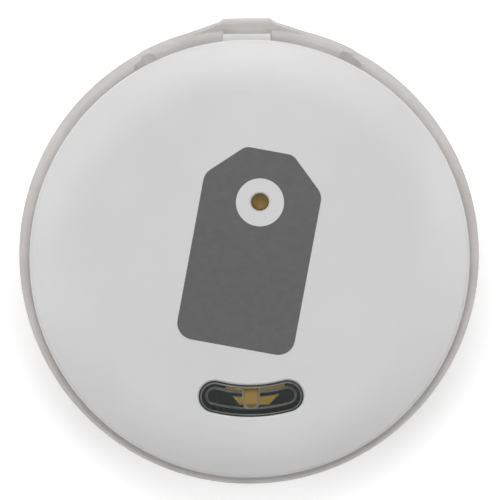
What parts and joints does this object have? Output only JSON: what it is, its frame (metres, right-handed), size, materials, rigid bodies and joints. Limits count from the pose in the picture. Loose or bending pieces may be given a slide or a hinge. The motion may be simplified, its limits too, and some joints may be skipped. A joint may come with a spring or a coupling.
{
  "type": "bluetooth tracker tag",
  "caption": "Coin-size round tracker tag with a domed press-button face, a light window, a sounder, a lanyard bar and a twist-off back cover over a coin cell.",
  "frame": {"origin": "centre of the back cover's flat outside, on the tag's axis, so the tag lies on its back on Z = 0", "axes": "+Z out of the domed front face, +Y towards the lanyard bar, +X to the right seen from the front"},
  "size_m": [0.026, 0.0264, 0.0056],
  "materials": {
    "frosted_ring": "clear plastic with a frosted skin, milky and translucent",
    "frame_white": "moulded white, fine matte",
    "cap_white": "moulded white, satin",
    "emblem_grey": "pad-printed dark grey ink",
    "window_clear": "clear, polished",
    "adhesive_black": "thin black adhesive foam",
    "sounder_brass": "rolled brass, lightly tarnished",
    "sounder_ceramic": "fired ceramic, matte",
    "silver_ink": "screen-printed silver, matte",
    "board_dark": "very dark green solder mask over glass weave",
    "gold_plate": "thin gold plating over copper",
    "masked_copper": "copper under green solder mask",
    "epoxy_black": "moulded black epoxy",
    "ferrite_grey": "magnetic grey resin",
    "tin_plate": "matte tin",
    "crystal_ceramic": "dark fired ceramic",
    "nickel_lid": "nickel-plated lid, seam-welded",
    "capacitor_ceramic": "tan fired ceramic",
    "resistor_glaze": "black glaze",
    "led_body": "white reflector ceramic",
    "led_phosphor": "yellow phosphor in clear resin",
    "switch_black": "moulded black nylon",
    "stainless": "stamped stainless steel",
    "actuator_cream": "moulded natural nylon",
    "spring_contact": "gold-flashed spring steel",
    "cell_steel": "bright nickel-plated steel",
    "cell_gasket": "dark sealing plastic",
    "cell_core": "pressed powder, lithium and separator",
    "cover_white": "moulded white, satin, fine wear where it turns",
    "seal_rubber": "moulded silicone rubber",
    "cushion_foam": "closed-cell foam"
  },
  "bodies": {
    "housing": {"outer_ring": "frosted_ring", "inner_frame": "frame_white", "circuit_board": "board_dark", "board_gold_pads": "gold_plate", "antenna_track": "masked_copper", "radio_chip": "epoxy_black", "radio_chip_leads": "tin_plate", "crystal_bases": "crystal_ceramic", "crystal_lids": "nickel_lid", "boost_inductor": "ferrite_grey", "sounder_driver_chip": "epoxy_black", "boost_diode": "epoxy_black", "capacitor_bodies": "capacitor_ceramic", "resistor_bodies": "resistor_glaze", "component_ends": "tin_plate", "status_led_base": "led_body", "status_led_lens": "led_phosphor", "switch_base": "switch_black", "switch_snap_dome": "stainless", "switch_cover_plate": "stainless", "sounder_rim_spring": "spring_contact", "sounder_centre_spring": "spring_contact", "cell_can": "cell_steel", "cell_cap": "cell_steel", "cell_gasket": "cell_gasket", "cell_pellet": "cell_core", "negative_contact": "spring_contact", "positive_contacts": "spring_contact"},
    "front_button": {"front_cap": "cap_white", "printed_emblem": "emblem_grey", "light_window": "window_clear", "window_seal": "seal_rubber", "piezo_adhesive": "adhesive_black", "piezo_brass_plate": "sounder_brass", "piezo_ceramic_disc": "sounder_ceramic", "piezo_electrode": "silver_ink"},
    "switch_actuator": {"switch_plunger": "actuator_cream"},
    "back_lid": {"back_cover": "cover_white", "cover_seal": "seal_rubber", "cell_cushion": "cushion_foam"}
  },
  "joints": [
    {"name": "front_press", "type": "slide", "parent": "housing", "child": "front_button", "axis": [0, 0, -1], "range_m": [0, 0.0002], "stiffness_N_per_m": 5000, "springref_m": -0.0002, "deforming": ["switch_snap_dome", "sounder_rim_spring", "sounder_centre_spring"]},
    {"name": "switch_press", "type": "slide", "parent": "housing", "child": "switch_actuator", "axis": [0, 0, -1], "range_m": [0, 0.0002]},
    {"name": "back_turn", "type": "hinge", "parent": "housing", "child": "back_lid", "pos_m": [0, 0, 0], "axis": [0, 0, -1], "range_deg": [0, 22]}
  ],
  "couplings": [
    {"joint": "switch_press", "follows": "front_press", "ratio": 1}
  ]
}
